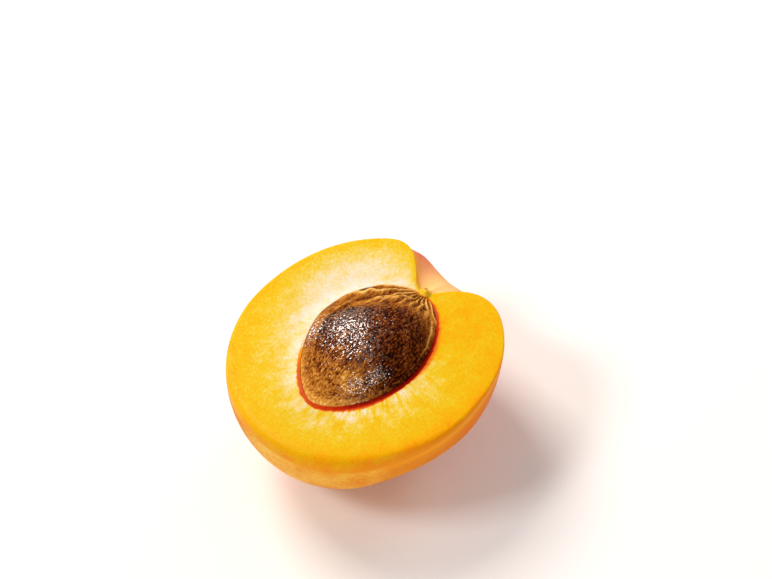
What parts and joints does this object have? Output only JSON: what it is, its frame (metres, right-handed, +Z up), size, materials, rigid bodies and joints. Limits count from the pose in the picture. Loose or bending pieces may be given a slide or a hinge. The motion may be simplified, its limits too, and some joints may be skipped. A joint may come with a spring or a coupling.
{
  "type": "apricot half",
  "caption": "Half of a ripe apricot with its stone still in it, cut face up, resting on a small flat spot under its round back.",
  "frame": {"origin": "middle of the box round the whole half, at the level of the flat spot that it rests on", "axes": "+X along the fruit towards the stem end, +Y towards the suture, +Z up, out of the cut face"},
  "size_m": [0.0494, 0.0452, 0.0296],
  "materials": {
    "flesh": "moist yellow flesh, with orange skin that has a fine down",
    "stone": "wet and dark, with a grainy surface"
  },
  "bodies": {
    "root": {"apricot_half": "flesh", "stone": "stone"}
  },
  "joints": []
}
